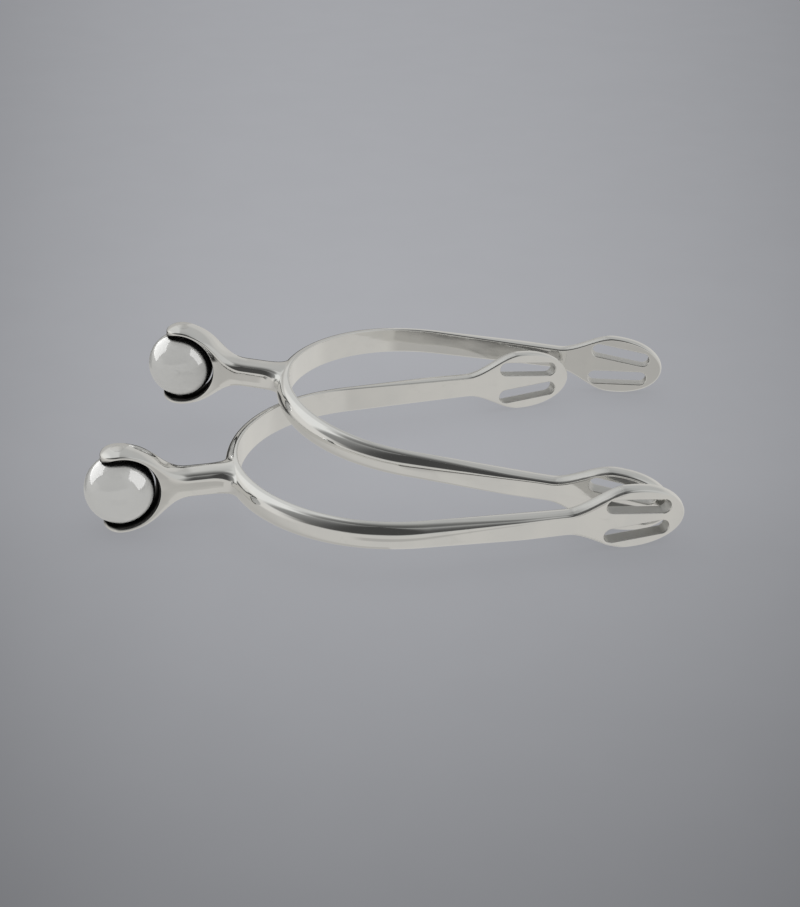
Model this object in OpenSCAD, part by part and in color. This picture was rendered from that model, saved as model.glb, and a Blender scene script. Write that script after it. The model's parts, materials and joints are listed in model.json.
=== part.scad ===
// A pair of English roller-ball spurs, left and right, lying crossed on a flat surface.
// Each spur is a forged heel band with a slotted strap loop at the end of both branches,
// a neck ending in a C-shaped fork, and a polished ball that turns on a pressed axle pin.
// Millimetres. +X points from the heel towards the toe of the left spur, +Z is up, and the
// origin is on the inside of the left heel band, at the middle of the heel seat.

/* [Heel band] */
// Half of the clear width between the branches where the heel curve ends
half_width = 32.3; // [30:0.1:36]
// Depth of the heel curve, from the heel seat to the start of the straight branches
heel_depth = 32.05; // [28:0.05:36]
// How full the curve is beside the heel seat
heel_fullness = 14.6; // [11:0.1:17]
// How full the curve is where it runs into the branches
branch_fullness = 19.9; // [15:0.1:23]
// Outward angle of the straight branches, in degrees
splay = 1.65; // [0:0.05:4]
// Length of the straight part of a branch, up to the tip of its loop
branch_length = 56.15; // [50:0.05:64]
// Outward lean of the upper edge of the band, in degrees
lean = 2.8; // [0:0.1:5]
// Height of the band at the heel
heel_height = 6.7; // [6:0.1:8]
// Height of the band beside the ankle
ankle_height = 6.2; // [5:0.1:7]
// Height of the band where it meets the loop
end_height = 5.2; // [4.4:0.1:6]
// Thickness of the half-round band at the heel
heel_thick = 2.8; // [2.4:0.1:3.6]
// Thickness the half-round band grows to before it flattens into the loop
end_thick = 3.6; // [3:0.1:4.2]

/* [Strap loops] */
// Thickness of the flat loop plate
loop_thick = 3.3; // [2.6:0.1:4]
// Overall height of the loop plate
loop_height = 14.3; // [13:0.1:17]
// Length of the loop plate, from its shoulder to its tip
loop_length = 26.2; // [24:0.1:30]
// Distance from the shoulder to the widest place of the loop
loop_crest = 13.5; // [11:0.1:15]
// Length of a strap slot
slot_length = 14.4; // [12:0.1:15.5]
// Height of a strap slot
slot_height = 3.3; // [2.4:0.1:3.6]
// Distance from the shoulder to the back end of the slots
slot_start = 8.3; // [7.5:0.1:9.5]
// Height of the slot axis above the middle, at the back end of the slot
slot_z_back = 3.55; // [3.3:0.05:3.8]
// Height of the slot axis above the middle, at the front end of the slot
slot_z_front = 2.5; // [2.35:0.05:3]

/* [Neck and fork] */
// Distance from the heel seat back to the centre of the ball
ball_reach = 26.1; // [24:0.1:34]
// Height of the ball centre above the middle of the band
ball_lift = 0.2; // [-1:0.1:1]
// Width of the neck and of the fork arms
fork_width = 7.2; // [6.4:0.1:8]
// Half the width of the foot where the neck meets the band
foot_half = 5.0; // [4.4:0.1:5.4]
// Half the thickness of the neck at its side edges
neck_half_height = 2.6; // [1.8:0.05:2.7]
// Radius of the hollow between the fork arms
hollow_radius = 8.25; // [8:0.05:8.4]
// Outer radius of the fork at its side edges
fork_radius = 8.95; // [8.9:0.05:9.3]
// How much the outside of the fork is crowned
fork_crown = 0.5; // [0.3:0.05:0.7]
// How far the arms reach past the ball axle
arm_reach = 4.3; // [3.6:0.1:5]
// Depth of the pocket in the band that takes the foot of the neck, from the heel seat
seat_depth = 1.75; // [1.5:0.05:1.9]

/* [Ball and axle] */
// Diameter of the ball
ball_diameter = 15; // [14.6:0.1:15.2]
// Diameter of the axle pin
pin_diameter = 3; // [2.4:0.1:3.4]
// Radial running clearance of the ball on the pin
ball_clear = 0.05; // [0.02:0.01:0.1]
// Radial press fit of the pin in the fork arms
pin_press = 0.01; // [0:0.005:0.02]

/* [How the pair lies] */
// Toe-down angle of the left spur as it rests on fork and loops, in degrees
left_pitch = 1.04; // [0.9:0.02:1.2]
// Forward place of the right spur's heel seat
right_x = 18.3; // [18.2:0.1:18.4]
// Sideways place of the right spur's heel seat
right_y = 33.25; // [33.2:0.05:33.4]
// Height of the right spur's heel seat, raised by the branch it lies on
right_z = 6.1; // [6.1:0.05:7]
// Turn of the right spur, in degrees
right_yaw = -21.6; // [-21.6:0.1:-21.2]
// Toe-down angle of the right spur, in degrees
right_pitch = 5.61; // [5.5:0.01:5.7]

/* [Hidden] */
steel = [0.78, 0.78, 0.76];
steel_dark = [0.66, 0.66, 0.65];

// --- Shared helpers ---
function clamp01(t) = min(1, max(0, t));
function mix(a, b, t) = a + (b - a)*clamp01(t);
function smooth(t) = let (c = clamp01(t)) c*c*(3 - 2*c);
function unit(v) = v/norm(v);

// Point on a cubic Bezier curve, and its direction there (unscaled)
function bezier(a, b, c, d, t) =
    pow(1-t, 3)*a + 3*pow(1-t, 2)*t*b + 3*(1-t)*t*t*c + pow(t, 3)*d;
function bezier_slope(a, b, c, d, t) =
    pow(1-t, 2)*(b-a) + 2*(1-t)*t*(c-b) + t*t*(d-c);

// Skin over a row of closed rings of equal size; caps are the faces of both ends
module loft(rings, caps, convexity) {
    size = len(rings[0]);
    side = [for (j = [0:len(rings)-2]) for (i = [0:size-1])
        let (next = (i+1) % size, row = j*size, row_next = row + size)
        each [[row+i, row_next+next, row+next], [row+i, row_next+i, row_next+next]]];
    polyhedron(points = [for (ring = rings) each ring], faces = concat(side, caps),
               convexity = convexity);
}

// --- Plan path: inside of the left (+Y) branch, from the heel seat forwards ---
curve_steps = 13;
branch_steps = 8;
plate_overlap = 3.2;      // the band runs on this far inside the loop plate
shoulder = branch_length - loop_length;   // straight length before the loop plate
branch_dir = [cos(splay), sin(splay)];
seat_point = [0, 0];
seat_handle = [0, heel_fullness];
branch_start = [heel_depth, half_width];
branch_handle = branch_start - branch_fullness*branch_dir;

path = concat(
    [for (i = [0:curve_steps])
        bezier(seat_point, seat_handle, branch_handle, branch_start, i/curve_steps)],
    [for (i = [1:branch_steps])
        branch_start + branch_dir*(shoulder + plate_overlap)*i/branch_steps]);
tangents = concat(
    [for (i = [0:curve_steps])
        unit(bezier_slope(seat_point, seat_handle, branch_handle, branch_start, i/curve_steps))],
    [for (i = [1:branch_steps]) branch_dir]);
path_last = len(path) - 1;
// Distance along the path from the heel seat to point k
function distance_to(k) = k <= 0 ? 0 : distance_to(k-1) + norm(path[k] - path[k-1]);
path_length = distance_to(path_last);

// --- Band section at distance s along the path ---
arc_steps = 12;                      // steps across the rounded outside
ankle_at = 30;                       // where the height is ankle_height
flatten_at = path_length - 14;       // where the thickness starts to blend to the plate's
flatten_run = 13;
square_from = 45;                    // the half-round section turns squarer from here
square_to = path_length - 3;
plate_inset = 0.05;                  // the band ends this much thinner than the plate

function band_height(s) = s < ankle_at
    ? ankle_height + (heel_height - ankle_height)*pow(1 - s/ankle_at, 1.5)
    : mix(ankle_height, end_height, (s - ankle_at)/(path_length - plate_overlap - ankle_at));
function band_thick(s) = mix(heel_thick, end_thick, s/flatten_at)
    + (loop_thick - plate_inset - end_thick)*smooth((s - flatten_at)/flatten_run);
// Superellipse exponent: 2 is an ellipse, larger is squarer
function squareness(s) = 2 + 3.5*smooth((s - square_from)/(square_to - square_from));
// Points [outward, up] of the section, from the lower to the upper edge
function section(s) = let (power = 2/squareness(s))
    [for (i = [0:arc_steps]) let (a = -90 + 180*i/arc_steps)
        [band_thick(s)*pow(max(0, cos(a)), power),
         band_height(s)/2*sign(a)*pow(abs(sin(a)), power)]];
// Section point [out, up] set at a path point, with the lean of the band
function place(point, tangent, out, up) =
    let (leaned = out*cos(lean) + up*sin(lean))
    [point[0] - tangent[1]*leaned, point[1] + tangent[0]*leaned, -out*sin(lean) + up*cos(lean)];
function left_ring(k) =
    [for (p = section(distance_to(k))) place(path[k], tangents[k], p[0], p[1])];
function flip_y(ring) = [for (p = ring) [p[0], -p[1], p[2]]];

// Both branches in one sweep, from the right loop round the heel to the left loop
module band_sweep() {
    rings = concat([for (k = [path_last:-1:1]) flip_y(left_ring(k))],
                   [for (k = [0:path_last]) left_ring(k)]);
    size = arc_steps + 1;
    last = (len(rings) - 1)*size;
    loft(rings, [[for (i = [0:size-1]) i], [for (i = [size-1:-1:0]) last + i]], 8);
}

// --- Strap loop, x measured from its shoulder ---
outline_steps = 26;
outline_x = [for (i = [0:outline_steps]) loop_length*(1 - pow(1 - i/outline_steps, 1.6))];
slot_run = slot_length - slot_height;                // between the end centres, along x
slot_tilt = atan((slot_z_front - slot_z_back)/slot_run);
slot_axis = slot_run/cos(slot_tilt);                 // the same, along the tilted slot

function loop_half(x) = x <= loop_crest
    ? end_height/2 + (loop_height/2 - end_height/2)*smooth(x/loop_crest)
    : loop_height/2*sqrt(max(0, 1 - pow((x - loop_crest)/(loop_length - loop_crest), 2.2)));

module loop_outline() {
    polygon(concat([for (x = outline_x) [x, loop_half(x)]],
                   [for (i = [outline_steps-1:-1:0]) [outline_x[i], -loop_half(outline_x[i])]]));
}

// side is 1 for the upper slot, -1 for the lower
module slot(side) {
    translate([slot_start + slot_height/2, side*slot_z_back]) rotate(side*slot_tilt) {
        translate([0, -slot_height/2]) square([slot_axis, slot_height]);
        circle(d = slot_height, $fn = 48);
        translate([slot_axis, 0]) circle(d = slot_height, $fn = 48);
    }
}

module strap_loop() {
    start = branch_start + branch_dir*shoulder;
    translate([start[0], start[1], 0])
        rotate([0, 0, splay])
        rotate([90 - lean, 0, 0])
        translate([0, 0, -loop_thick])
        linear_extrude(height = loop_thick) difference() {
            loop_outline();
            slot(1);
            slot(-1);
        }
}

// --- Heel band ---
neck_crown = 0.2;        // extra half thickness along the middle of the neck
pocket_half = neck_half_height + neck_crown;
pocket_cut = 10;         // length of the pocket cutter, reaching out behind the band

module heel_band() {
    difference() {
        union() {
            band_sweep();
            strap_loop();
            mirror([0, 1, 0]) strap_loop();
        }
        // pocket for the foot of the neck
        translate([-seat_depth - pocket_cut, -foot_half, ball_lift - pocket_half])
            cube([pocket_cut, 2*foot_half, 2*pocket_half]);
    }
}

// --- Neck and fork, drawn about the ball centre ---
ball_centre = [-ball_reach, 0, ball_lift];
seat_x = ball_reach - seat_depth;
tip_round = 3.4;         // how far the arm tips round back at their side edges
join_angle = 75;         // where the round of the fork leaves for the neck
waist_share = 0.94;      // width of the neck as a share of fork_width
flare_start = 3.6;       // the foot starts to flare this far behind its front face
flare_run = 2.8;
cut_extra = 4;           // added length of the through cuts
pin_hole_length = 30;
// Stations of the foot, as distances behind its front face
foot_stations = [flare_start, 2.6, 1.8, 1.2, 0.8, 0];
// Stations across the width, from one side edge (-1) to the other (1)
fork_rows = [-1, -0.93, -0.78, -0.55, -0.28, 0, 0.28, 0.55, 0.78, 0.93, 1];

// Width as a share of fork_width, at distance x in front of the ball
function width_share(x) =
    let (flare = min(flare_run, max(0, x - (seat_x - flare_start)))/flare_run)
    mix(1, waist_share, smooth((x - 9)/5))
        + (2*foot_half/fork_width - waist_share)*(1 - sqrt(1 - flare*flare));

// Upper outline [x, z] in row q, from the arm tip forwards to the foot
function fork_profile(q) = let (
        crown = 1 - q*q,
        radius = fork_radius + fork_crown*crown,
        neck_z = neck_half_height + neck_crown*crown,
        tip_x = -arm_reach + tip_round*(1 - sqrt(crown)),
        tip_angle = acos(tip_x/radius),
        join = radius*[cos(join_angle), sin(join_angle)],
        join_handle = join + 7*[sin(join_angle), -cos(join_angle)])
    concat([for (i = [0:5]) let (a = tip_angle + (join_angle - tip_angle)*i/6)
               radius*[cos(a), sin(a)]],
           [for (i = [0:8]) bezier(join, join_handle, [8, neck_z], [14.5, neck_z], i/8)],
           [[17.5, neck_z]],
           [for (behind = foot_stations) [seat_x - behind, neck_z]]);

function fork_ring(q) = let (
        upper = [for (p = fork_profile(q)) [p[0], q*fork_width/2*width_share(p[0]), p[1]]])
    concat(upper, [for (i = [len(upper)-1:-1:0]) [upper[i][0], upper[i][1], -upper[i][2]]]);

module fork_blank() {
    rings = [for (q = fork_rows) fork_ring(q)];
    size = len(rings[0]);
    end = size - 1;
    last = (len(rings) - 1)*size;
    // each side is closed by quads between the upper and the lower outline
    caps = [for (i = [0:size/2-2])
        each [[i, i+1, end-1-i, end-i], [last+i, last+end-i, last+end-1-i, last+i+1]]];
    loft(rings, caps, 6);
}

module neck_fork() {
    translate(ball_centre) difference() {
        fork_blank();
        rotate([90, 0, 0])
            cylinder(r = hollow_radius, h = fork_width + cut_extra, center = true, $fn = 120);
        cylinder(d = pin_diameter - 2*pin_press, h = pin_hole_length, center = true, $fn = 64);
    }
}

// --- Ball and upright axle pin ---
pin_half = fork_radius + fork_crown + 0.05;   // stands just proud of the fork
pin_radius = pin_diameter/2;
chamfer_in = 0.35;       // pin end chamfer, across
chamfer_along = 0.3;     // pin end chamfer, along the axis

module roller_ball() {
    translate(ball_centre) difference() {
        sphere(d = ball_diameter, $fn = 96);
        cylinder(d = pin_diameter + 2*ball_clear, h = ball_diameter + cut_extra,
                 center = true, $fn = 64);
    }
}

module axle_pin() {
    translate(ball_centre) rotate_extrude($fn = 64) polygon([
        [0, -pin_half], [pin_radius - chamfer_in, -pin_half],
        [pin_radius, -pin_half + chamfer_along], [pin_radius, pin_half - chamfer_along],
        [pin_radius - chamfer_in, pin_half], [0, pin_half]]);
}

// --- The pair ---
module left_place() { rotate([0, left_pitch, 0]) children(); }
module right_place() {
    translate([right_x, right_y, right_z]) rotate([0, right_pitch, right_yaw]) children();
}

module left_heel_band() { color(steel) left_place() heel_band(); }
module left_neck_fork() { color(steel) left_place() neck_fork(); }
module left_roller_ball() { color(steel) left_place() roller_ball(); }
module left_axle_pin() { color(steel_dark) left_place() axle_pin(); }
module right_heel_band() { color(steel) right_place() heel_band(); }
module right_neck_fork() { color(steel) right_place() neck_fork(); }
module right_roller_ball() { color(steel) right_place() roller_ball(); }
module right_axle_pin() { color(steel_dark) right_place() axle_pin(); }

left_heel_band();
left_neck_fork();
left_roller_ball();
left_axle_pin();
right_heel_band();
right_neck_fork();
right_roller_ball();
right_axle_pin();
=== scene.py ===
"""Looks for a crossed pair of roller-ball spurs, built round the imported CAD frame.

All shapes are worked out in millimetres in one spur's own frame (x towards the toe, y outwards
to the left, z up, origin at the heel seat), and placed with the frame that the record gives."""

import json
import math
import bpy
import bmesh
import numpy as np
from mathutils import Matrix, Vector
from mathutils.bvhtree import BVHTree
from mathutils.geometry import delaunay_2d_cdt


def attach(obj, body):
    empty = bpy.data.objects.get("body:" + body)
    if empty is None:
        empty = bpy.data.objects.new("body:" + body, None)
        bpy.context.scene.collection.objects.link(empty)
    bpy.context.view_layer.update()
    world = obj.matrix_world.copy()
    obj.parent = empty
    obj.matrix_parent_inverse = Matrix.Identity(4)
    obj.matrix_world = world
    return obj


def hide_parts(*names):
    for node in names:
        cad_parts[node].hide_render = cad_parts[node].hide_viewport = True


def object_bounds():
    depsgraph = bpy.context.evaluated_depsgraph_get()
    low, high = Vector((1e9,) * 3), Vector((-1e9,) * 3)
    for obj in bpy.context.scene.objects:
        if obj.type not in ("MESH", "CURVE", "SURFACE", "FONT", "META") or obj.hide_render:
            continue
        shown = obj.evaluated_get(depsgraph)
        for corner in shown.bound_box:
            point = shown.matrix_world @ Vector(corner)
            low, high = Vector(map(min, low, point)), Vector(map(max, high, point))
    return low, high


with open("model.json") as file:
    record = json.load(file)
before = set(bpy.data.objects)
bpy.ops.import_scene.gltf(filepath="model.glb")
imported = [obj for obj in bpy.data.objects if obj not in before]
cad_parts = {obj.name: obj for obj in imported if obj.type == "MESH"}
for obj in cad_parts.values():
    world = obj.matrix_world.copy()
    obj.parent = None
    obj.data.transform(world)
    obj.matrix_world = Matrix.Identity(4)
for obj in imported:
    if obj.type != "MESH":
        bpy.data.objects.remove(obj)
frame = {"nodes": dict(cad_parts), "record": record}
cad_lo, cad_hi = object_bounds()
record = frame["record"]

# ------------------------------------------------------------------ sizes, as in the CAD (mm)
P3 = np.array([32.05, 32.3])
SPLAY = math.radians(1.65)
DIR = np.array([math.cos(SPLAY), math.sin(SPLAY)])
P1 = np.array([0.0, 14.6])
P2 = P3 - 19.9 * DIR
LEAN = math.radians(2.8)
LOOP_LEN, LOOP_H, LOOP_CREST, LOOP_T = 26.2, 14.3, 13.5, 3.3
SHOULDER = 56.15 - LOOP_LEN
H_HEEL, H_MID, H_END = 6.7, 6.2, 5.2
T_HEEL, T_END = 2.8, 3.6
BALL = np.array([-26.1, 0.0, 0.2])
BALL_R, BORE_R, PIN_R = 7.5, 1.55, 1.5
FORK_W, FORK_R, CROWN, HOLLOW = 7.2, 8.95, 0.5, 8.4
NECK_H = 2.6
SEAT_X = 26.1 - 1.75
FOOT_Y, FOOT_TOP, FOOT_FALL = 7.8, 3.12, 1.9
RIM, RIM_IN, DOME, SLOT_R, SLOT_EDGE = 0.75, 0.4, 0.16, 1.65, 0.25


def smooth(t):
    t = min(1.0, max(0.0, t))
    return t * t * (3 - 2 * t)


def mix(a, b, t):
    return a + (b - a) * min(1.0, max(0.0, t))


# ------------------------------------------------------------------ where each spur stands
def mount(name):
    return next(m for m in record["mounts"] if m["name"] == name)


def joint(name):
    return next(j for j in record["behaviour"]["joints"] if j["name"] == name)


def spur_frame(side):
    """4x4 from a spur's own millimetres to the row frame in metres."""
    seat = mount(side + "_heel_seat")
    x = Vector(seat["axis"]).normalized()
    z = Vector(joint(side + "_ball_spin")["axis"]).normalized()
    y = z.cross(x).normalized()
    x = y.cross(z)
    m = Matrix((x, y, z)).transposed().to_4x4()
    m.translation = Vector(seat["pos_m"])
    return m @ Matrix.Scale(0.001, 4)


# ------------------------------------------------------------------ mesh building
class Shape:
    """Vertices in local mm, merged where they coincide, with one pair of surface values each."""

    def __init__(self):
        self.v, self.f, self.uv, self.key, self.mark = [], [], [], {}, []

    def vert(self, p, uv=(0.0, 0.0), mark=0.0):
        k = (round(p[0] * 2000), round(p[1] * 2000), round(p[2] * 2000))
        if k not in self.key:
            self.key[k] = len(self.v)
            self.v.append(tuple(float(c) for c in p))
            self.uv.append(uv)
            self.mark.append(mark)
        return self.key[k]

    def face(self, ids):
        out = [i for n, i in enumerate(ids) if i != ids[n - 1]]
        if len(set(out)) >= 3:
            self.f.append(out)

    def grid(self, rows, wrap=False):
        for a, b in zip(rows[:-1], rows[1:]):
            n = len(a)
            for i in range(n if wrap else n - 1):
                j = (i + 1) % n
                self.face([a[i], a[j], b[j], b[i]])


def build(shape, name, side, body, node, material, creases=(), painted_shade_satin=None, cap=False):
    bm = bmesh.new()
    lay = bm.verts.layers.float_vector.new("flow")
    vs = [bm.verts.new(p) for p in shape.v]
    for v, uv in zip(vs, shape.uv):
        v[lay] = Vector((uv[0], uv[1], 0.0))
    for f in shape.f:
        try:
            bm.faces.new([vs[i] for i in f])
        except ValueError:
            pass
    bm.verts.index_update()
    if cap:
        open_edges = [e for e in bm.edges if e.is_boundary]
        bmesh.ops.holes_fill(bm, edges=open_edges, sides=0)
    bmesh.ops.recalc_face_normals(bm, faces=bm.faces[:])
    for offset, pairs in creases:
        wanted = []
        for a, b in pairs:
            e = bm.edges.get([vs[a], vs[b]]) if vs[a].is_valid and vs[b].is_valid else None
            if e is not None:
                wanted.append(e)
        bmesh.ops.bevel(bm, geom=wanted, offset=offset, offset_type="OFFSET", segments=3,
                        profile=0.5, affect="EDGES", clamp_overlap=True)
    for f in [f for f in bm.faces if len(f.verts) > 4]:
        bmesh.ops.triangulate(bm, faces=[f])
    me = bpy.data.meshes.new(name)
    bm.to_mesh(me)
    bm.free()
    n = len(me.vertices)
    co = np.zeros(n * 3)
    me.vertices.foreach_get("co", co)
    co = co.reshape(-1, 3)
    local = me.attributes.new("local_mm", "FLOAT_VECTOR", "POINT")
    local.data.foreach_set("vector", co.astype(np.float32).ravel())
    # the shade mask: painted shade and a satin finish in the material wherever it is set
    dark = painted_shade_satin(co) if painted_shade_satin else np.array(shape.mark) if len(shape.mark) == n else np.zeros(n)
    g = me.attributes.new("painted_shade_satin", "FLOAT", "POINT")
    g.data.foreach_set("value", dark.astype(np.float32))
    me.transform(spur_frame(side))
    me.update()
    # area-weighted vertex normals keep the flats flat and the rounded edges smooth
    acc = np.zeros((n, 3))
    for p in me.polygons:
        w = np.array(p.normal) * p.area
        for i in p.vertices:
            acc[i] += w
    length = np.linalg.norm(acc, axis=1)
    length[length == 0] = 1
    me.shade_smooth()
    me.normals_split_custom_set_from_vertices([tuple(x) for x in acc / length[:, None]])
    me.materials.append(material)
    ob = bpy.data.objects.new(name, me)
    bpy.context.scene.collection.objects.link(ob)
    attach(ob, body)
    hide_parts(node)
    return ob


# ------------------------------------------------------------------ heel band
def bez(a, b, c, d, t):
    return (1 - t) ** 3 * a + 3 * (1 - t) ** 2 * t * b + 3 * (1 - t) * t * t * c + t ** 3 * d


def bez_d(a, b, c, d, t):
    return 3 * ((1 - t) ** 2 * (b - a) + 2 * (1 - t) * t * (c - b) + t * t * (d - c))


TT = np.linspace(0, 1, 1201)
CURVE = np.array([bez(np.zeros(2), P1, P2, P3, t) for t in TT])
RUN = np.concatenate([[0], np.cumsum(np.linalg.norm(np.diff(CURVE, axis=0), axis=1))])
S_CURVE = float(RUN[-1])
S_PLATE = S_CURVE + SHOULDER
S_END = S_PLATE + 3.2


def path(s):
    if s >= S_CURVE:
        return P3 + DIR * (s - S_CURVE), DIR
    t = float(np.interp(s, RUN, TT))
    d = bez_d(np.zeros(2), P1, P2, P3, t)
    return bez(np.zeros(2), P1, P2, P3, t), d / np.linalg.norm(d)


def put(s, o, z):
    """Outward offset o and height z on the band at distance s along it."""
    p, t = path(s)
    o2 = o * math.cos(LEAN) + z * math.sin(LEAN)
    z2 = -o * math.sin(LEAN) + z * math.cos(LEAN)
    return (p[0] - t[1] * o2, p[1] + t[0] * o2, z2)


def sec_h(s):
    if s < 30:
        return H_MID + (H_HEEL - H_MID) * (1 - s / 30) ** 1.5
    return mix(H_MID, H_END, (s - 30) / (S_PLATE - 30))


def sec_t(s):
    t = mix(T_HEEL, T_END, s / (S_END - 14))
    return t + (LOOP_T - T_END) * smooth((s - S_PLATE + 11) / 11)


N_IN, N_OUT = 4, 10


def rim_profile(t, ri, ao, az, dome=0.0):
    """From the inner face, over the edge, to the outer face: (depth o, distance in from the edge)."""
    pts = []
    for i in range(N_IN + 1):
        a = math.pi - math.pi / 2 * i / N_IN
        pts.append((ri + ri * math.cos(a), dome + ri - ri * math.sin(a)))
    for u in (-0.6, -0.2, 0.2, 0.6):
        pts.append(((ri + t - ao) / 2 + u * (t - ao - ri) / 2, dome * u * u))
    for i in range(N_OUT + 1):
        b = math.pi / 2 * i / N_OUT
        pts.append((t - ao + ao * math.sin(b), dome + az - az * math.cos(b)))
    return pts


def section(s):
    h, t = sec_h(s), sec_t(s)
    square = smooth((s - 42) / 38)
    ri = mix(0.32, RIM_IN, square)
    ao = mix(t - ri - 0.12, RIM, square)
    az = mix(h / 2 - 0.12, RIM, square)
    prof = rim_profile(t, ri, ao, az, DOME * square)
    top = [(o, h / 2 - d) for o, d in prof]
    low = [(o, -(h / 2 - d)) for o, d in reversed(prof)]
    z0 = h / 2 - ri
    inner = [(0.0, -z0 * 0.5), (0.0, 0.0), (0.0, z0 * 0.5)]
    return top + low + inner


def loop_half(x):
    if x <= LOOP_CREST:
        return H_END / 2 + (LOOP_H / 2 - H_END / 2) * smooth(x / LOOP_CREST)
    u = (x - LOOP_CREST) / (LOOP_LEN - LOOP_CREST)
    return LOOP_H / 2 * math.sqrt(max(0.0, 1 - u ** 2.2))


def loop_outline():
    """Upper half of the outline from the shoulder to the tip, as evenly spaced points with outward normals."""
    xs = np.concatenate([np.linspace(0, 13.5, 120), LOOP_LEN - (LOOP_LEN - 13.5) * (1 - np.sin(np.linspace(0, math.pi / 2, 400)))[1:]])
    ys = np.array([loop_half(x) for x in xs])
    run = np.concatenate([[0], np.cumsum(np.hypot(np.diff(xs), np.diff(ys)))])
    n = 58
    g = np.linspace(0, run[-1], n + 1)
    px, py = np.interp(g, run, xs), np.interp(g, run, ys)
    py[-1] = 0.0
    e = 0.05
    out = []
    for i in range(n + 1):
        a, b = max(0.0, g[i] - e), min(run[-1], g[i] + e)
        dx = np.interp(b, run, xs) - np.interp(a, run, xs)
        dy = np.interp(b, run, ys) - np.interp(a, run, ys)
        l = math.hypot(dx, dy)
        nx, ny = -dy / l, dx / l
        if i == 0:
            nx, ny = 0.0, 1.0
        if i == n:
            nx, ny = 1.0, 0.0
        out.append((float(px[i]), float(py[i]), nx, ny))
    return out


def slot_ring(up, grow):
    """A round-ended slot's edge, grown outwards by grow, as points round it."""
    c1, c2 = np.array([9.95, 3.55 * up]), np.array([21.05, 2.5 * up])
    d = (c2 - c1) / np.linalg.norm(c2 - c1)
    n = np.array([-d[1], d[0]])
    r = SLOT_R + grow
    pts = []
    for i in range(15):
        a = math.pi / 2 + math.pi * i / 14
        pts.append(c1 + r * (math.cos(a) * d + math.sin(a) * n))
    for k in range(1, 12):
        pts.append(c1 - n * r + (c2 - c1) * k / 12)
    for i in range(15):
        a = -math.pi / 2 + math.pi * i / 14
        pts.append(c2 + r * (math.cos(a) * d + math.sin(a) * n))
    for k in range(1, 12):
        pts.append(c2 + n * r + (c1 - c2) * k / 12)
    return pts


def inside(p, ring):
    hit = False
    for (x1, y1), (x2, y2) in zip(ring, ring[1:] + ring[:1]):
        if (y1 > p[1]) != (y2 > p[1]) and p[0] < (x2 - x1) * (p[1] - y1) / (y2 - y1) + x1:
            hit = not hit
    return hit


def fill(rings):
    """Triangles between the first ring and the holes, as places in the rings laid end to end."""
    pts, edges = [], []
    for ring in rings:
        n0, n = len(pts), len(ring)
        pts += [Vector(p) for p in ring]
        edges += [(n0 + i, n0 + (i + 1) % n) for i in range(n)]
    out_pts, _, tris, from_pts, _, _ = delaunay_2d_cdt(pts, edges, [], 0, 1e-7, True)
    out = []
    for tri in tris:
        c = (sum(out_pts[i][0] for i in tri) / 3, sum(out_pts[i][1] for i in tri) / 3)
        if inside(c, rings[0]) and not any(inside(c, hole) for hole in rings[1:]) and all(from_pts[i] for i in tri):
            out.append([from_pts[i][0] for i in tri])
    return out


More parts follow.
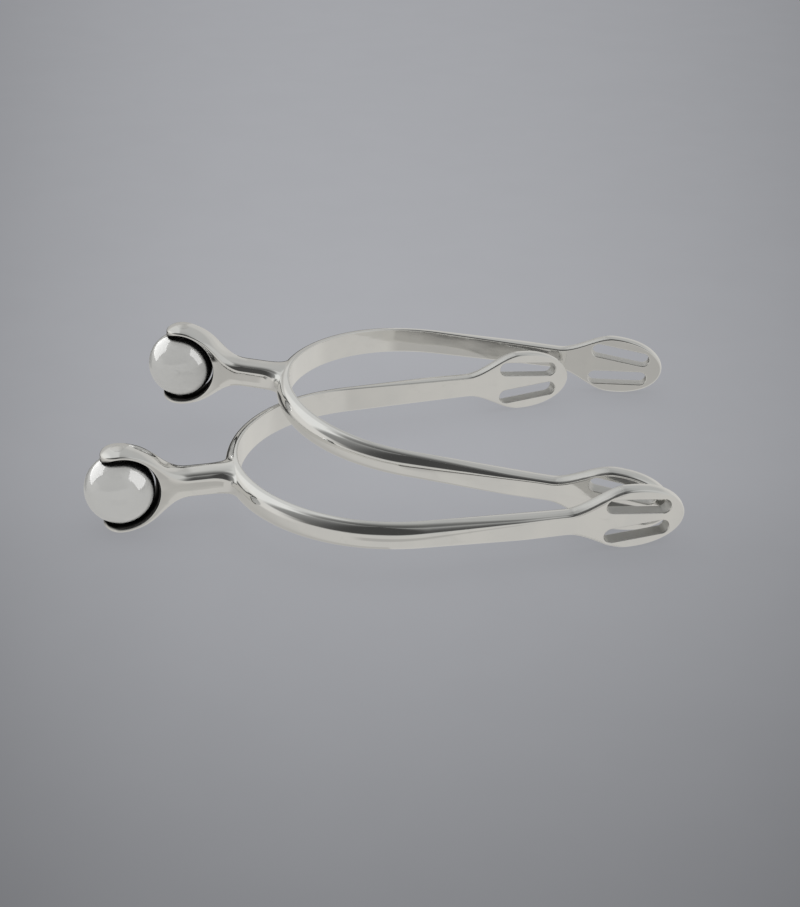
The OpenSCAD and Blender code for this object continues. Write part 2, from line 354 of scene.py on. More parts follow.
def heel_band():
    sh = Shape()
    n_ring = 126

    def half(flip):
        f = -1.0 if flip else 1.0

        def v(p, uv, mark=0.0):
            return sh.vert((p[0], p[1] * f, p[2]), (uv[0] * f, uv[1]), mark)

        rows = []
        for k in range(n_ring + 1):
            s = S_PLATE * k / n_ring
            rows.append([v(put(s, o, z), (s, z - o)) for o, z in section(s)])
        sh.grid(rows, wrap=True)
        last = rows[-1]
        prof = rim_profile(LOOP_T, RIM_IN, RIM, RIM, DOME)
        m = len(prof)
        outline = loop_outline()
        full = outline + [(x, -y, nx, -ny) for x, y, nx, ny in reversed(outline[:-1])]
        strips, rims = [], []
        slot_edges = np.array([q for up in (1, -1) for q in slot_ring(up, SLOT_EDGE)])
        for x, y, nx, ny in full:
            # the rounded rim narrows where a slot comes close, so that a strip of flat always stays
            room = (np.hypot(slot_edges[:, 0] - x, slot_edges[:, 1] - y).min() - 0.18 - DOME) / RIM
            rim = [(o, DOME + (d - DOME) * min(1.0, room)) if j > N_IN + 4 else (o, d) for j, (o, d) in enumerate(prof)]
            rims.append(rim)
            # softer reflections and a slightly darker colour, painted shade, on the rising rim of the shoulder, to
            # match the look of the photograph
            satin_and_shade = 0.095 * smooth((-nx - 0.05) / 0.22)
            strips.append([v(put(S_PLATE + x - nx * d, o, y - ny * d), (S_PLATE + x, y - o), satin_and_shade * min(1.0, 0.5 * min(j, m - 1 - j)))
                           for j, (o, d) in enumerate(rim)])
        sh.grid(strips)

        def flat(o, index, extra, grow):
            edge = [s_[index] for s_ in strips]
            loop2d = [(x - nx * r[index][1], y - ny * r[index][1]) for (x, y, nx, ny), r in zip(full, rims)]
            for i, z in extra:
                edge.append(i)
                loop2d.append((0.0, z))
            rings, ids = [[(float(a), float(b)) for a, b in loop2d]], list(edge)
            for up in (1, -1):
                ring = slot_ring(up, grow)
                rings.append([(float(p[0]), float(p[1])) for p in ring])
                ids += [v(put(S_PLATE + p[0], o, p[1]), (S_PLATE + p[0], p[1] - o)) for p in ring]
            for tri in fill(rings):
                sh.face([ids[i] for i in tri])

        z0 = H_END / 2 - RIM_IN
        flat(LOOP_T, m - 1, [], SLOT_EDGE)
        flat(0.0, 0, [(last[2 * m], -z0 * 0.5), (last[2 * m + 1], 0.0), (last[2 * m + 2], z0 * 0.5)], SLOT_EDGE)
        for up in (1, -1):
            rings = []
            levels = [(SLOT_EDGE * (1 - math.sin(a)), SLOT_EDGE * (1 - math.cos(a))) for a in np.linspace(0, math.pi / 2, 5)]
            depth = [(g, o) for g, o in levels] + [(0.0, 0.5), (0.0, LOOP_T / 2), (0.0, LOOP_T - 0.5)] + [(g, LOOP_T - o) for g, o in reversed(levels)]
            for g, o in depth:
                # the slot walls are marked rougher and painted a little darker: painted shade in the slots
                mark = 0.2 * smooth((min(o, LOOP_T - o) - 0.1) / 0.25)
                rings.append([v(put(S_PLATE + p[0], o, p[1]), (S_PLATE + p[0], p[1] - o), mark) for p in slot_ring(up, g)])
            sh.grid(rings, wrap=True)

    half(False)
    half(True)
    return sh


# ------------------------------------------------------------------ neck and fork, about the ball centre
Q = [0, 0.12, 0.25, 0.38, 0.5, 0.62, 0.73, 0.83, 0.92, 1.0]
QS = [-q for q in reversed(Q[1:])] + Q
TIP_C = -0.35            # the arms are full width up to here, and end in a half round
TIP_L = 3.4


def share(x):
    return 1 - 0.06 * smooth((x - 9) / 5)


def top_z(x, y):
    c = 1 - (y / (FORK_W / 2)) ** 2
    ro = FORK_R + CROWN * c
    z = math.sqrt(ro * ro - x * x)
    if x < TIP_C:
        z -= 0.35 * ((TIP_C - x) / TIP_L) ** 3
    return z


def outer_line(q):
    """Upper profile (x, z) at width share q, from the start of the tip to the start of the foot."""
    c = 1 - q * q
    ro, hn = FORK_R + CROWN * c, NECK_H + 0.2 * c
    a_start = math.degrees(math.acos(TIP_C / ro))
    a0 = ro * np.array([math.cos(math.radians(75)), math.sin(math.radians(75))])
    a1 = a0 + 7 * np.array([math.sin(math.radians(75)), -math.cos(math.radians(75))])
    b, e = np.array([9.3, hn]), np.array([15.0, hn])
    pts = []
    for i in range(9):
        a = math.radians(a_start + (75 - a_start) * i / 9)
        pts.append((ro * math.cos(a), ro * math.sin(a)))
    for i in range(19):
        pts.append(tuple(bez(a0, a1, b, e, i / 18)))
    for x in (15.7, 16.4, 17.1, 17.8, 18.5):
        pts.append((x, hn))
    return pts


def inner_line():
    """The hollow's half profile paired with outer_line: (x, z), then the neck's mid line."""
    a_start = math.degrees(math.acos(TIP_C / HOLLOW))
    pts = []
    for i in range(9):
        a = math.radians(a_start + (75 - a_start) * i / 9)
        pts.append((HOLLOW * math.cos(a), HOLLOW * math.sin(a)))
    for i in range(19):
        a = math.radians(75 * (1 - i / 18))
        pts.append((HOLLOW * math.cos(a), HOLLOW * math.sin(a)))
    for i in range(5):
        pts.append((HOLLOW + (18.5 - HOLLOW) * (i + 1) / 5, 0.0))
    return pts


BARREL = 0.62


def hollow_r(y):
    return HOLLOW - BARREL * (1 - (y / (FORK_W / 2)) ** 2)


FOOT_ROWS = 16
FOOT_START = SEAT_X - 5.2


def neck_point(q, x, z):
    """Sideways place and height at width share q: crisp edges on the fork, rounder ones along the neck."""
    hw = FORK_W / 2 * share(x)
    w = smooth((x - 4.5) / 10.0)
    if w <= 0 or z <= 0:
        return q * hw, z
    r = 1.75
    aq, sg = abs(q), 1.0 if q >= 0 else -1.0
    if aq <= 0.62:
        y2, z2 = aq / 0.62 * (hw - r), z
    else:
        a = math.radians(90 - 82 * (aq - 0.62) / 0.38)
        y2, z2 = hw - r + r * math.cos(a), z - r + r * math.sin(a)
    return sg * (aq * hw + (y2 - aq * hw) * w), z + (z2 - z) * w


def neck_fork(band_tree):
    sh = Shape()
    half_w = FORK_W / 2
    outer_pairs, inner_pairs = [], []

    def foot(q, y0, z0, y_end, z_end):
        """Points of the foot along one line: it leaves the neck straight and lands along the band's outside."""
        p, n, _, _ = band_tree.ray_cast(Vector((-12.0, y_end, z_end)), Vector((1, 0, 0)))
        end = p - n * 0.04 - Vector(BALL)
        start = Vector((FOOT_START, y0, z0))
        side = Vector((0, y_end - y0, z_end - BALL[2] - z0))
        lie = side - n * side.dot(n)
        reach = side.length
        lie = lie.normalized() if lie.length > 1e-6 else Vector((1, 0, 0))
        c1 = start + Vector((end.x - start.x, 0, 0)) * (0.50 + 0.25 * min(1.0, reach / 3.0))
        c2 = end - lie * (0.62 * reach)
        pts = []
        for k in range(FOOT_ROWS + 1):
            t = k / FOOT_ROWS
            pts.append(tuple((1 - t) ** 3 * start + 3 * (1 - t) ** 2 * t * c1 + 3 * (1 - t) * t * t * c2 + t ** 3 * end))
        return pts

    for up in (1, -1):
        def v(x, y, z):
            return sh.vert((x + BALL[0], y, z * up + BALL[2]), (x, y + z))

        lines = []
        for q in QS:
            line = [v(x, *neck_point(q, x, z)) for x, z in outer_line(q)]
            hn = NECK_H + 0.2 * (1 - q * q)
            y0, z0 = neck_point(q, FOOT_START, hn)
            tail = foot(q, y0, z0 * up, q * FOOT_Y, up * (FOOT_TOP - FOOT_FALL * abs(q) ** 2.2))
            lines.append(line + [v(x, y, z * up) for x, y, z in tail])
        rows = [list(r) for r in zip(*lines)]
        sh.grid(rows)
        # half-round end of the arm, outside and inside
        steps = 26
        angles = [math.radians(-90 + 180 * k / steps) for k in range(steps + 1)]

        def cap(zf):
            arcs = []
            for r in Q[1:]:
                arcs.append([v(TIP_C - TIP_L * r * math.cos(a), half_w * r * math.sin(a),
                               zf(TIP_C - TIP_L * r * math.cos(a), half_w * r * math.sin(a))) for a in angles])
            centre = v(TIP_C, 0.0, zf(TIP_C, 0.0))
            for k in range(steps):
                sh.face([centre, arcs[0][k], arcs[0][k + 1]])
            sh.grid(arcs)
            return arcs[-1]

        out_arc = cap(top_z)
        in_arc = cap(lambda x, y: math.sqrt(hollow_r(y) ** 2 - x * x))
        # hollow of the fork
        inner = inner_line()
        wall = []
        for k, (x, z) in enumerate(inner[:28]):
            radii = [hollow_r(q * half_w) for q in QS]
            if k < 9:
                wall.append([v(x, q * half_w, math.sqrt(r * r - x * x)) for q, r in zip(QS, radii)])
            else:
                wall.append([v(x * r / HOLLOW, q * half_w, z * r / HOLLOW) for q, r in zip(QS, radii)])
        sh.grid(wall)
        # side faces, running round the end of the arm
        sides = []
        for sgn in (-1, 1):
            o_ids = lines[0] if sgn < 0 else lines[-1]
            out = outer_line(1.0)
            col_o, col_m, col_i = [], [], []
            for k, ((xo, zo), (xi, zi)) in enumerate(zip(out, inner)):
                col_o.append(o_ids[k])
                xm, zm = (xo + xi) / 2, (neck_point(1.0, xo, zo)[1] + zi) / 2
                col_m.append(v(xm, sgn * half_w * share(xm), zm))
                col_i.append(v(xi, sgn * half_w * share(xi), zi))
            n0 = len(out)
            edge_z = neck_point(1.0, FOOT_START, NECK_H)[1]
            half_end = half_w * share(FOOT_START)
            mid = [(x, y, z * up) for x, y, z in foot(sgn, sgn * half_end, up * edge_z / 2, sgn * (FOOT_Y + 0.25), up * (FOOT_TOP - FOOT_FALL) / 2)]
            low = [(x, y, z * up) for x, y, z in foot(sgn, sgn * half_end, 0.0, sgn * (FOOT_Y + 0.3), 0.0)]
            for k in range(FOOT_ROWS + 1):
                col_o.append(o_ids[n0 + k])
                col_m.append(v(*mid[k]))
                col_i.append(v(*low[k]))
            sides.append((col_o, col_m, col_i))
            sh.grid([col_o, col_m, col_i])
            sharp = sum(1 for x, _ in out if x < 10.5)
            outer_pairs += list(zip(col_o[:sharp], col_o[1:sharp + 1]))
            inner_pairs += list(zip(col_i[:27], col_i[1:28]))
        tip_mid = []
        for k, a in enumerate(angles):
            x, y = TIP_C - TIP_L * math.cos(a), half_w * math.sin(a)
            tip_mid.append(v(x, y, (top_z(x, y) + math.sqrt(hollow_r(y) ** 2 - x * x)) / 2))
        tip_mid[0], tip_mid[-1] = sides[0][1][0], sides[1][1][0]
        sh.grid([out_arc, tip_mid, in_arc])
        outer_pairs += list(zip(out_arc[:-1], out_arc[1:]))
        inner_pairs += list(zip(in_arc[:-1], in_arc[1:]))
    return sh, [(0.30, outer_pairs), (0.14, inner_pairs)]


def fork_painted_shade(co):
    """How deep in the gap between ball and fork a point lies, 0 on the outside, 1 well inside: the mask of painted
    shade on the fork's hollow.
    """
    x, y, z = co[:, 0] - BALL[0], co[:, 1], co[:, 2] - BALL[2]
    r = np.hypot(x, z)
    inside = np.clip((HOLLOW + 0.10 - r) / 0.06, 0, 1)
    depth = np.clip((FORK_W / 2 - np.abs(y) - 0.25) / 0.9, 0, 1)
    return inside * depth


# ------------------------------------------------------------------ ball and pin
def revolve(profile, centre, n=128, closed=False):
    sh = Shape()
    rows = []
    for r, z in profile:
        if r < 1e-6:
            rows.append([sh.vert((centre[0], centre[1], centre[2] + z), (0, z))] * n)
        else:
            rows.append([sh.vert((centre[0] + r * math.cos(2 * math.pi * k / n),
                                  centre[1] + r * math.sin(2 * math.pi * k / n), centre[2] + z), (k * 0.3, z))
                         for k in range(n)])
    if closed:
        rows.append(rows[0])
    sh.grid(rows, wrap=True)
    return sh


def roller_ball():
    prof = []
    mouth = 1.95
    a0 = math.asin(mouth / BALL_R)
    n = 72
    for i in range(n + 1):
        a = a0 + (math.pi - 2 * a0) * i / n
        prof.append((BALL_R * math.sin(a), BALL_R * math.cos(a)))
    zt = BALL_R * math.cos(a0)
    ch = [(mouth - 0.08, zt - 0.01), (mouth - 0.22, zt - 0.10), (BORE_R + 0.05, zt - 0.34), (BORE_R, zt - 0.46)]
    bore = [(BORE_R, zt - 1.2), (BORE_R, 0.0), (BORE_R, -(zt - 1.2))]
    prof = prof + [(r, -z) for r, z in ch] + [(r, -z) for r, z in bore] + [(r, z) for r, z in reversed(ch)]
    return revolve(prof, BALL, closed=True)


def axle_pin():
    sh = Shape()
    n = 64
    rows = []
    rings = [(0.4, 0.02), (0.8, 0.02), (1.15, 0.02), (1.32, 0.018), (1.40, 0.008), (1.45, -0.02), (1.48, -0.06), (PIN_R, -0.14)]

    def pt(r, k, dz, up):
        a = 2 * math.pi * k / n
        x, y = r * math.cos(a), r * math.sin(a)
        return sh.vert((BALL[0] + x, BALL[1] + y, BALL[2] + up * (top_z(x, y) + dz)), (x, y))

    c = sh.vert((BALL[0], BALL[1], BALL[2] + top_z(0, 0) + 0.02))
    rows.append([c] * n)
    for r, dz in rings:
        rows.append([pt(r, k, dz, 1) for k in range(n)])
    for z in (8.6, 8.0, 7.4, 0.0, -7.4, -8.0, -8.6):
        rows.append([sh.vert((BALL[0] + PIN_R * math.cos(2 * math.pi * k / n), BALL[1] + PIN_R * math.sin(2 * math.pi * k / n), BALL[2] + z), (k * 0.15, z)) for k in range(n)])
    for r, dz in reversed(rings):
        rows.append([pt(r, k, dz, -1) for k in range(n)])
    c2 = sh.vert((BALL[0], BALL[1], BALL[2] - top_z(0, 0) - 0.02))
    rows.append([c2] * n)
    sh.grid(rows, wrap=True)
    return sh


# ------------------------------------------------------------------ shader helpers
class Nodes:
    def __init__(self, tree):
        self.t = tree
        self.t.nodes.clear()

    def new(self, kind, **props):
        n = self.t.nodes.new(kind)
        for k, val in props.items():
            setattr(n, k, val)
        return n

    def set(self, socket, value):
        if isinstance(value, bpy.types.NodeSocket):
            self.t.links.new(value, socket)
        else:
            socket.default_value = value

    def math(self, op, a, b=0.0, c=0.0, clamp=False):
        n = self.new("ShaderNodeMath", operation=op, use_clamp=clamp)
        self.set(n.inputs[0], a)
        self.set(n.inputs[1], b)
        self.set(n.inputs[2], c)
        return n.outputs[0]

    def ramp(self, x, lo, hi, a=0.0, b=1.0, kind="SMOOTHSTEP"):
        n = self.new("ShaderNodeMapRange", interpolation_type=kind, clamp=True) if kind == "LINEAR" else self.new("ShaderNodeMapRange", interpolation_type=kind)
        self.set(n.inputs["Value"], x)
        for key, val in (("From Min", lo), ("From Max", hi), ("To Min", a), ("To Max", b)):
            self.set(n.inputs[key], val)
        return n.outputs[0]

    def mixc(self, f, a, b):
        n = self.new("ShaderNodeMix", data_type="RGBA")
        self.set(n.inputs[0], f)
        self.set(n.inputs[6], a)
        self.set(n.inputs[7], b)
        return n.outputs[2]

    def mixf(self, f, a, b):
        n = self.new("ShaderNodeMix", data_type="FLOAT")
        self.set(n.inputs[0], f)
        self.set(n.inputs[2], a)
        self.set(n.inputs[3], b)
        return n.outputs[0]

    def noise(self, vec, scale, detail=2.0, rough=0.5, distortion=0.0):
        n = self.new("ShaderNodeTexNoise")
        self.set(n.inputs["Vector"], vec)
        self.set(n.inputs["Scale"], scale)
        self.set(n.inputs["Detail"], detail)
        self.set(n.inputs["Roughness"], rough)
        self.set(n.inputs["Distortion"], distortion)
        return n.outputs["Fac"]

    def scale(self, vec, s, rot=(0, 0, 0)):
        n = self.new("ShaderNodeMapping")
        self.set(n.inputs["Vector"], vec)
        self.set(n.inputs["Scale"], s)
        self.set(n.inputs["Rotation"], rot)
        return n.outputs[0]

    def bump(self, height, distance, strength=1.0, normal=None):
        n = self.new("ShaderNodeBump")
        self.set(n.inputs["Height"], height)
        self.set(n.inputs["Distance"], distance)
        self.set(n.inputs["Strength"], strength)
        if normal is not None:
            self.set(n.inputs["Normal"], normal)
        return n.outputs[0]


def steel(name, base, tint, rough_lo, rough_hi, wave, scratch, painted_shade_grey=0.03, metallic=1.0, coat=0.0, coat_ior=1.5, lines=True, painted_shade_reach=0.0):
    """Mirror-polished stainless steel: soft polishing waves, hairline scratches, faint smudges, and painted shade (a
    darker, satin patch) where the shade mask is set, such as the fork's hollow, and on the ball where the fork lies
    close.
    """
    mat = bpy.data.materials.new(name)
    mat.use_nodes = True
    g = Nodes(mat.node_tree)
    out = g.new("ShaderNodeOutputMaterial")
    p = g.new("ShaderNodeBsdfPrincipled")
    g.t.links.new(p.outputs[0], out.inputs[0])
    local = g.new("ShaderNodeAttribute", attribute_name="local_mm").outputs["Vector"]
    flow = g.new("ShaderNodeAttribute", attribute_name="flow").outputs["Vector"]
    painted_shade_satin = g.new("ShaderNodeAttribute", attribute_name="painted_shade_satin").outputs["Fac"]
    # colour: cloudy warm and cool zones, a little darker in smudges
    cloud = g.noise(local, 0.11, 3.0, 0.55)
    fine = g.noise(local, 0.9, 4.0, 0.6)
    smudge = g.ramp(g.noise(g.scale(local, (0.22, 0.35, 0.3), (0.3, 0.2, 0.7)), 1.0, 5.0, 0.62, 0.6), 0.54, 0.70)
    colour = g.mixc(g.ramp(cloud, 0.35, 0.65), base + (1,), tint + (1,))
    worn = tuple(c * 0.93 for c in base)
    colour = g.mixc(g.math("MULTIPLY", smudge, 0.55), colour, worn + (1,))
    # painted shade: the colour goes near black where the shade mask is set
    colour = g.mixc(painted_shade_satin, colour, (painted_shade_grey, painted_shade_grey, painted_shade_grey * 0.95, 1))
    if painted_shade_reach:
        # painted shade: where the fork lies close, the ball's colour goes near black, standing in for its reflection of
        # the fork's dark inside
        ao = g.new("ShaderNodeAmbientOcclusion", samples=12)
        g.set(ao.inputs["Distance"], painted_shade_reach * 0.001)
        colour = g.mixc(g.ramp(ao.outputs["AO"], 0.65, 0.74, 1.0, 0.0), colour, (0.012, 0.012, 0.012, 1))
    # hairline scratches: long along the part, thresholded so that only a few show
    s1 = g.noise(g.scale(flow if lines else local, (0.10, 9.0, 9.0), (0, 0, 0.06)), 1.0, 2.0, 0.5)
    s2 = g.noise(g.scale(local, (0.35, 7.0, 7.0), (0.5, 0.9, 0.6)), 1.0, 1.0, 0.5)
    hair = g.math("MAXIMUM", g.ramp(s1, 0.66, 0.74), g.ramp(s2, 0.70, 0.78))
    rough = g.mixf(g.ramp(fine, 0.3, 0.7), rough_lo, rough_hi)
    rough = g.math("ADD", rough, g.math("MULTIPLY", smudge, 0.05))
    rough = g.math("ADD", rough, g.math("MULTIPLY", hair, 0.06))
    satin = g.ramp(painted_shade_satin, 0.02, 0.15)
    rough = g.mixf(satin, rough, 0.45)
    # polishing waves a few millimetres long, then the hairlines
    waves = g.noise(g.scale(flow if lines else local, (0.09, 0.22, 0.22)), 1.0, 1.5, 0.4)
    plain = g.math("SUBTRACT", 1.0, satin)
    n1 = g.bump(waves, wave * 0.001, plain)
    n2 = g.bump(hair, scratch * 0.001, plain, n1)
    g.set(p.inputs["Base Color"], colour)
    g.set(p.inputs["Metallic"], metallic)
    g.set(p.inputs["Roughness"], rough)
    g.set(p.inputs["Normal"], n2)
    if metallic < 1:
        g.set(p.inputs["Specular IOR Level"], 0.0)
    if coat:
        g.set(p.inputs["Coat Weight"], coat)
        g.set(p.inputs["Coat Roughness"], 0.02)
        g.set(p.inputs["Coat IOR"], coat_ior)
        g.set(p.inputs["Coat Normal"], n2)
    return mat


steel_mat = steel("polished_steel", (0.83, 0.828, 0.812), (0.80, 0.80, 0.79), 0.05, 0.09, 0.05, 0.0010)
ball_mat = steel("ball_steel", (0.70, 0.70, 0.680), (0.685, 0.685, 0.667), 0.36, 0.42, 0.0, 0.0006, metallic=0.0, coat=1.0, coat_ior=1.8, lines=False, painted_shade_reach=2.5)
pin_mat = steel("pin_steel", (0.79, 0.785, 0.77), (0.75, 0.745, 0.73), 0.09, 0.15, 0.01, 0.0015, lines=False)

# ------------------------------------------------------------------ the pieces
for side in ("left", "right"):
    spur = side + "_spur"
    band = heel_band()
    tree = BVHTree.FromPolygons([Vector(p) for p in band.v], band.f)
    build(band, side + "_heel_band_skin", side, spur, side + "_heel_band", steel_mat)
    fork, creases = neck_fork(tree)
    build(fork, side + "_neck_fork_skin", side, spur, side + "_neck_fork", steel_mat,
          creases=creases, painted_shade_satin=fork_painted_shade, cap=True)
    build(roller_ball(), side + "_roller_ball_skin", side, side + "_ball", side + "_roller_ball", ball_mat)
    build(axle_pin(), side + "_axle_pin_skin", side, spur, side + "_axle_pin", pin_mat)

# carried-over CAD nodes keep the same finish, for any view that shows them
for name, ob in frame["nodes"].items():
    ob.data.materials.clear()
    ob.data.materials.append(ball_mat if "ball" in name else pin_mat if "pin" in name else steel_mat)

# ------------------------------------------------------------------ camera, at the photograph's viewing angle
cam_data = bpy.data.cameras.new("camera")
cam = bpy.data.objects.new("camera", cam_data)
bpy.context.scene.collection.objects.link(cam)
bpy.context.scene.camera = cam
right = Vector((0.964318, -0.264652, 0.007025))
down = Vector((-0.115598, -0.444781, -0.888148))
forward = Vector((0.238175, 0.855645, -0.459504))
rot = Matrix((right, -down, -forward)).transposed().to_4x4()
rot.translation = Vector((-0.053483, -0.320688, 0.173093))
cam.matrix_world = rot
cam_data.sensor_width = 36.0
cam_data.lens = 67.1946
cam_data.clip_start, cam_data.clip_end = 0.01, 20.0

# ------------------------------------------------------------------ floor
FLOOR_Z = min(cad_lo.z, -0.008684) - 0.00002
fm = bpy.data.meshes.new("floor")
fm.from_pydata([(-4, -4, FLOOR_Z), (4, -4, FLOOR_Z), (4, 4, FLOOR_Z), (-4, 4, FLOOR_Z)], [], [(0, 1, 2, 3)])
floor = bpy.data.objects.new("floor", fm)
bpy.context.scene.collection.objects.link(floor)
floor.visible_glossy = False
floor.visible_diffuse = False
FLOOR_GAIN = 1.53
FLOOR_GLOW = 0.75
SOFTBOX = 2.9
fmat = bpy.data.materials.new("floor_grey")
fmat.use_nodes = True
g = Nodes(fmat.node_tree)
out = g.new("ShaderNodeOutputMaterial")
p = g.new("ShaderNodeBsdfPrincipled")
g.t.links.new(p.outputs[0], out.inputs[0])
pos = g.new("ShaderNodeNewGeometry").outputs["Position"]
sep = g.new("ShaderNodeSeparateXYZ")
g.set(sep.inputs[0], pos)
fr = Vector((right.x, right.y, 0)).normalized()
ff = Vector((forward.x, forward.y, 0)).normalized()
rel = g.new("ShaderNodeVectorMath", operation="SUBTRACT")
g.set(rel.inputs[0], pos)
g.set(rel.inputs[1], tuple(cam.matrix_world.translation))


def along(tree, vec, axis):
    n = tree.new("ShaderNodeVectorMath", operation="DOT_PRODUCT")
    tree.set(n.inputs[0], vec)
    tree.set(n.inputs[1], tuple(axis))
    return n.outputs["Value"]


# a painted pool of light in the floor's colour and glow, as seen from the main camera: brightest behind the spurs,
# falling off to the front and sides
depth = g.math("MAXIMUM", along(g, rel.outputs[0], forward), 0.02)
sx = g.math("DIVIDE", along(g, rel.outputs[0], right), depth)
sy = g.math("DIVIDE", along(g, rel.outputs[0], down), depth)
shade = g.ramp(sy, -0.27, -0.06, 0.376, 0.410, "LINEAR")
shade = g.mixf(g.ramp(sy, -0.03, 0.06), shade, g.ramp(sy, 0.0, 0.27, 0.410, 0.238, "LINEAR"))
offset = g.math("ADD", sx, 0.041)
wide = g.math("MULTIPLY", g.math("MULTIPLY", offset, offset), g.ramp(offset, -0.02, 0.02, 5.6, 2.9))
wide = g.math("MULTIPLY", wide, g.ramp(g.math("ABSOLUTE", offset), 0.30, 0.60, 1.0, 0.35))
shade = g.math("MULTIPLY", shade, g.math("SUBTRACT", 1.0, g.math("MINIMUM", wide, 0.35)))
gone = g.new("ShaderNodeVectorMath", operation="DISTANCE")
g.set(gone.inputs[0], pos)
g.set(gone.inputs[1], tuple((cad_lo + cad_hi) / 2))
shade = g.mixf(g.ramp(gone.outputs["Value"], 0.60, 1.40), shade, 0.30)
shade = g.mixf(g.ramp(along(g, rel.outputs[0], forward), 0.05, 0.30), 0.30, shade)
shade = g.math("MULTIPLY", shade, FLOOR_GAIN)
grain = g.noise(pos, 60.0, 3.0, 0.5)
shade = g.math("MULTIPLY", shade, g.ramp(grain, 0.2, 0.8, 0.992, 1.008))
col = g.new("ShaderNodeCombineColor")
g.set(col.inputs[0], g.math("MULTIPLY", shade, 0.968))
g.set(col.inputs[1], g.math("MULTIPLY", shade, 0.985))
g.set(col.inputs[2], g.math("MULTIPLY", shade, 1.045))
# most of the floor's brightness is a glow in its emission, painted light, so shadows on it stay faint
g.set(p.inputs["Base Color"], g.mixc(FLOOR_GLOW, col.outputs[0], (0, 0, 0, 1)))
g.set(p.inputs["Emission Color"], col.outputs[0])
g.set(p.inputs["Emission Strength"], FLOOR_GLOW * 0.655)
fmat.cycles.emission_sampling = "NONE"
g.set(p.inputs["Roughness"], 0.9)
g.set(p.inputs["Specular IOR Level"], 0.0)
fm.materials.append(fmat)

# ------------------------------------------------------------------ studio surroundings, seen only in the steel
world = bpy.data.worlds.new("studio")
bpy.context.scene.world = world
world.use_nodes = True
world.cycles.sampling_method = "NONE"
g = Nodes(world.node_tree)
out = g.new("ShaderNodeOutputWorld")
d = g.new("ShaderNodeTexCoord").outputs["Generated"]


def dot(vec):
    n = g.new("ShaderNodeVectorMath", operation="DOT_PRODUCT")
    g.set(n.inputs[0], d)
    g.set(n.inputs[1], vec)
    return n.outputs["Value"]


to_cam = -ff
dr, dc, du = dot(tuple(fr)), dot(tuple(to_cam)), dot((0, 0, 1))
deg = 180 / math.pi
el = g.math("MULTIPLY", g.math("ARCSINE", du), deg)
az = g.math("MULTIPLY", g.math("ARCTAN2", dr, dc), deg)      # 0 towards the camera, negative to its left


def window(x, a0, a1, b1, b0):
    """1 between a1 and b1, fading to 0 at a0 and b0."""
    return g.math("MULTIPLY", g.ramp(x, a0, a1), g.ramp(x, b1, b0, 1.0, 0.0))


# pale table, dimmer to the left
low = g.mixf(g.ramp(az, -125, -55), 0.475, 0.595)
# dark studio behind the camera: deepest straight ahead, greyer towards the softboxes
front = g.math("ADD", g.ramp(az, -100, -25, 0.27, 0.0), g.ramp(az, 22, 62, 0.0, 0.42))
front = g.math("ADD", front, 0.062)
# back wall, brighter near the table and falling off overhead
rear = g.ramp(el, 42, 86, 0.50, 0.10)
high = g.mixf(window(az, -112, -84, 40, 66), rear, front)
edge = g.ramp(az, -65, 20, 7, 22, "LINEAR")
level = g.mixf(g.ramp(g.math("SUBTRACT", el, edge), -4.0, 5.0), low, high)
# the table is dimmer just in front of the camera, and brighter at the foot of the left softbox
dim = g.math("MULTIPLY", window(az, -26, -14, 24, 38), window(el, -34, -27, -14, -9))
level = g.mixf(g.math("MULTIPLY", dim, 0.9), level, 0.44)
foot_glow = g.math("MULTIPLY", window(az, -150, -125, -82, -52), window(el, -14, -3, 16, 24))
level = g.mixf(foot_glow, level, 0.74)
# softboxes
left_box = g.math("MULTIPLY", window(az, -178, -171, -98, -84), window(el, 14, 22, 54, 68))
level = g.mixf(left_box, level, g.ramp(az, -138, -152, 0.86, 0.68))
right_box = g.math("MULTIPLY", window(az, 56, 66, 124, 134), window(el, 8, 16, 60, 74))
level = g.mixf(right_box, level, 0.60)
# bright table edge to the right of the back wall
right_glow = g.math("MULTIPLY", window(az, 96, 112, 150, 168), window(el, -36, -26, 8, 16))
level = g.mixf(right_glow, level, 0.66)
# dark gap under the back wall
slit = g.math("MULTIPLY", g.ramp(az, -116, -128), window(el, -26, -18, -8, -2))
level = g.mixf(slit, level, 0.05)
tint = g.mixc(g.ramp(el, 0, 40), (1.02, 1.0, 0.955, 1), (1.0, 1.005, 0.985, 1))
vm = g.new("ShaderNodeVectorMath", operation="SCALE")
g.set(vm.inputs[0], tint)
g.set(vm.inputs["Scale"], level)
bg_refl = g.new("ShaderNodeBackground")
g.set(bg_refl.inputs[0], vm.outputs[0])
bg_cam = g.new("ShaderNodeBackground")
g.set(bg_cam.inputs[0], (0.291, 0.296, 0.314, 1))
lp = g.new("ShaderNodeLightPath")
bg_soft = g.new("ShaderNodeBackground")
g.set(bg_soft.inputs[0], (0.62, 0.62, 0.62, 1))
ms1 = g.new("ShaderNodeMixShader")
g.set(ms1.inputs[0], lp.outputs["Is Diffuse Ray"])
g.t.links.new(bg_refl.outputs[0], ms1.inputs[1])
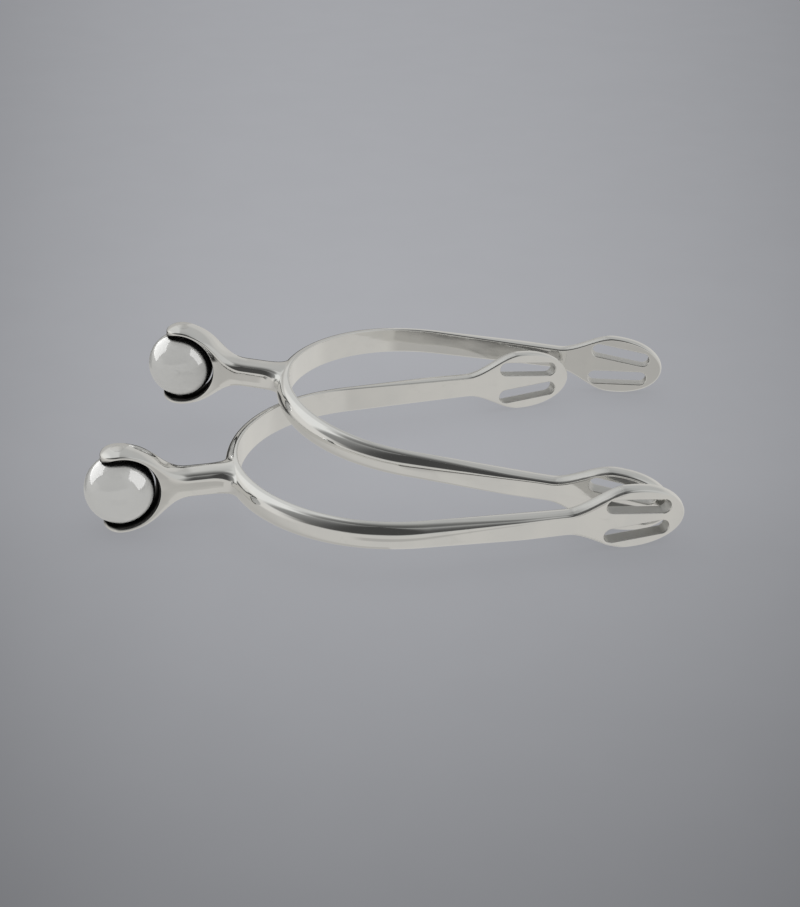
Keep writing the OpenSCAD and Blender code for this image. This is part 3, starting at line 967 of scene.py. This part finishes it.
g.t.links.new(bg_soft.outputs[0], ms1.inputs[2])
ms = g.new("ShaderNodeMixShader")
g.set(ms.inputs[0], lp.outputs["Is Camera Ray"])
g.t.links.new(ms1.outputs[0], ms.inputs[1])
g.t.links.new(bg_cam.outputs[0], ms.inputs[2])
g.t.links.new(ms.outputs[0], out.inputs[0])



def area(name, where, aim, wide_, high_, energy):
    data = bpy.data.lights.new(name, "AREA")
    data.shape = "RECTANGLE"
    data.size, data.size_y = wide_, high_
    data.energy = energy
    ob = bpy.data.objects.new(name, data)
    ob.location = where
    ob.rotation_euler = (Vector(aim) - Vector(where)).to_track_quat("-Z", "Y").to_euler()
    ob.visible_camera = False
    bpy.context.scene.collection.objects.link(ob)
    return ob


# one broad overhead light for a faint soft shadow on the floor; the steel doesn't show it
centre = (cad_lo + cad_hi) / 2
overhead = area("overhead", centre + Vector((0.05, 0.2, 1.1)), centre, 1.6, 1.4, 1.6)
overhead.visible_glossy = False

# two softboxes that the balls' lacquer-bright surface shows as crisp patches
balls = bpy.data.collections.new("balls")
for side in ("left", "right"):
    balls.objects.link(bpy.data.objects[side + "_roller_ball_skin"])
ball_mid = Vector((-0.016, 0.021, 0.005))


def towards(azimuth, elevation):
    a, e = math.radians(azimuth), math.radians(elevation)
    return Vector(fr) * math.sin(a) * math.cos(e) + Vector(to_cam) * math.cos(a) * math.cos(e) + Vector((0, 0, 1)) * math.sin(e)


for name, azimuth, elevation, wide_, high_ in (("softbox_left", -121, 27, 0.80, 0.62), ("softbox_right", 103, 30, 0.95, 0.72)):
    ob = area(name, ball_mid + towards(azimuth, elevation) * 0.7, ball_mid, wide_, high_, 1.0)
    ob.data.energy = SOFTBOX * math.pi * wide_ * high_
    ob.light_linking.receiver_collection = balls
    ob.visible_diffuse = False

sc = bpy.context.scene
sc.view_settings.view_transform = "Standard"
sc.view_settings.look = "None"
sc.view_settings.exposure = 0.0
sc.view_settings.gamma = 1.0
sc.cycles.max_bounces = 10
sc.cycles.glossy_bounces = 6
sc.cycles.diffuse_bounces = 2
